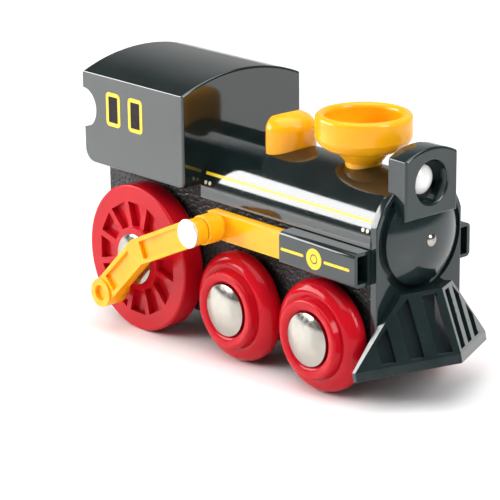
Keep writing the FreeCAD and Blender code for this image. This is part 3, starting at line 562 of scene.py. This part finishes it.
def boiler_stripe(hand, side):
    """A stripe along the boiler, with its lower face just inside the lacquer."""
    low, high = STRIPE_ANGLE - STRIPE_HALF_ANGLE, STRIPE_ANGLE + STRIPE_HALF_ANGLE
    section = [on_boiler(STRIPE_REAR, angle, side, out)
               for angle, out in ((low, -INK_SUNK), (high, -INK_SUNK), (high, INK), (low, INK))]
    name = "boiler_stripe_" + hand
    print_mark(name, filled_slab(name, section, ALONG * (STRIPE_FRONT - STRIPE_REAR)))


def boiler_dots(hand, side):
    """Two small dots below each end of the stripe."""
    out = outwards(DOT_ANGLE, side)
    for end, x_end, inward in (("rear", STRIPE_REAR, 1), ("front", STRIPE_FRONT, -1)):
        for number in range(2):
            spot = on_boiler(x_end + inward * (DOT_IN + DOT_GAP * number), DOT_ANGLE, side, -DOT_SUNK)
            name = "boiler_dot_%s_%s_%d" % (hand, end, number)
            ring = circle(spot, ALONG, out.cross(ALONG), DOT_R, DOT_STEPS)
            print_mark(name, filled_slab(name, ring, out * (INK + DOT_SUNK)), paint="silver_ink")


def boiler_marks():
    for hand, side in SIDES:
        boiler_stripe(hand, side)
        boiler_dots(hand, side)


MARK_X = SLEEVE_LOW.x + 10.1 * MM
MARK_Z = (SLEEVE_LOW.z + SLEEVE_HIGH.z) / 2
MARK_RINGS = ((0.01 * MM, 0.75 * MM), (1.0 * MM, 2.15 * MM))
MARK_STEPS = 48
LINE_HALF = 0.3 * MM
LINE_ROUND = 0.29 * MM
LINE_SPANS = ((SLEEVE_LOW.x + 0.5 * MM, MARK_X - 3.0 * MM), (MARK_X + 2.8 * MM, SLEEVE_HIGH.x - 1.4 * MM))


def cylinder_marks():
    """On each cylinder, a line broken by a dot in a ring."""
    for hand, side in SIDES:
        wall = side * SLEEVE_HIGH.y
        lift = Vector((0, side * INK, 0))
        for number, (start, end) in enumerate(LINE_SPANS):
            name = "cylinder_line_%s_%d" % (hand, number)
            outline = rounded_rectangle((start + end) / 2, MARK_Z, (end - start) / 2, LINE_HALF,
                                        LINE_ROUND, wall)
            print_mark(name, filled_slab(name, outline, lift))
        middle = Vector((MARK_X, wall, MARK_Z))
        for number, radii in enumerate(MARK_RINGS):
            name = "cylinder_ring_%s_%d" % (hand, number)
            inner, outer = [circle(middle, ALONG, UP, radius, MARK_STEPS) for radius in radii]
            print_mark(name, framed_slab(name, inner, outer, lift))


# ---------------------------------------------------------------- stage, light and camera
TARGET = Vector((-11.48, 0.0, 18.26)) * MM
CAMERA_AZIMUTH = 48.73
CAMERA_ELEVATION = 17.36
CAMERA_DISTANCE = 504.9 * MM
CAMERA_ROLL = -0.64
CAMERA_LENS = 172.14
CAMERA_SENSOR = 36.0
CAMERA_NEAR = 0.01
CAMERA_FAR = 10.0


def direction(azimuth, elevation):
    """The way from the object towards a viewer; azimuth 0 looks along +Y, 90 along -X."""
    a, e = math.radians(azimuth), math.radians(elevation)
    return Vector((math.sin(a) * math.cos(e), -math.cos(a) * math.cos(e), math.sin(e)))


def aimed(azimuth, elevation, distance, roll=0.0):
    """The place and turn of a camera or light that points at the target."""
    way = direction(azimuth, elevation)
    turn = way.to_track_quat("Z", "Y").to_matrix().to_4x4()
    return Matrix.Translation(TARGET + way * distance) @ turn @ Matrix.Rotation(math.radians(roll), 4, "Z")


def make_camera():
    data = bpy.data.cameras.new("camera")
    data.lens = CAMERA_LENS
    data.sensor_width = CAMERA_SENSOR
    data.clip_start = CAMERA_NEAR
    data.clip_end = CAMERA_FAR
    camera = bpy.data.objects.new("camera", data)
    bpy.context.scene.collection.objects.link(camera)
    camera.matrix_world = aimed(CAMERA_AZIMUTH, CAMERA_ELEVATION, CAMERA_DISTANCE, CAMERA_ROLL)
    bpy.context.scene.camera = camera


def area_light(name, azimuth, elevation, distance, size, power):
    data = bpy.data.lights.new(name, "AREA")
    data.shape = "RECTANGLE"
    data.size, data.size_y = size
    data.energy = power
    light = bpy.data.objects.new(name, data)
    bpy.context.scene.collection.objects.link(light)
    light.matrix_world = aimed(azimuth, elevation, distance)


SKY_LOW = 0.14
SKY_GLOW = 0.42
SKY_GLOW_AZIMUTH = -150
SKY_GLOW_ELEVATION = 18
SKY_GLOW_EDGE = math.cos(math.radians(38))


def light_sky():
    """An even dim sky with one soft glow behind the engine, which the roof mirrors."""
    world = bpy.data.worlds.new("studio")
    world.use_nodes = True
    bpy.context.scene.world = world
    tree = world.node_tree
    background = tree.nodes["Background"]
    background.inputs["Color"].default_value = (1, 1, 1, 1)
    place = tree.nodes.new("ShaderNodeTexCoord")
    nearness = tree.nodes.new("ShaderNodeVectorMath")
    nearness.operation = "DOT_PRODUCT"
    nearness.inputs[1].default_value = direction(SKY_GLOW_AZIMUTH, SKY_GLOW_ELEVATION)
    tree.links.new(place.outputs["Generated"], nearness.inputs[0])
    glow = tree.nodes.new("ShaderNodeMapRange")
    glow.interpolation_type = "SMOOTHSTEP"
    glow.inputs["From Min"].default_value = SKY_GLOW_EDGE
    glow.inputs["To Min"].default_value = SKY_LOW
    glow.inputs["To Max"].default_value = SKY_LOW + SKY_GLOW
    tree.links.new(nearness.outputs["Value"], glow.inputs["Value"])
    tree.links.new(glow.outputs["Result"], background.inputs["Strength"])


FLOOR_HALF = 6.0


def make_floor():
    build = bmesh.new()
    corners = ((-FLOOR_HALF, -FLOOR_HALF), (FLOOR_HALF, -FLOOR_HALF),
               (FLOOR_HALF, FLOOR_HALF), (-FLOOR_HALF, FLOOR_HALF))
    build.faces.new([build.verts.new((x, y, 0)) for x, y in corners])
    mesh = bpy.data.meshes.new("floor")
    build.to_mesh(mesh)
    build.free()
    mesh.materials.append(PAINTS["floor_white"])
    floor = bpy.data.objects.new("floor", mesh)
    bpy.context.scene.collection.objects.link(floor)


def make_stage():
    make_floor()
    light_sky()
    area_light("key_left", azimuth=-49.6, elevation=20.5, distance=0.6, size=(0.5, 0.25), power=3.9)
    area_light("top_soft", azimuth=60, elevation=82, distance=2.0, size=(2.6, 2.6), power=56.0)
    area_light("front_fill", azimuth=100, elevation=32, distance=0.7, size=(0.25, 0.3), power=2.2)
    # Standard keeps the strong colours of the plastic, which the default transform washes out.
    bpy.context.scene.view_settings.view_transform = "Standard"


paint_cad_nodes()
small_wheels()
soft_dome()
cab_windows()
boiler_marks()
cylinder_marks()
make_stage()
make_camera()
bpy.context.view_layer.update()
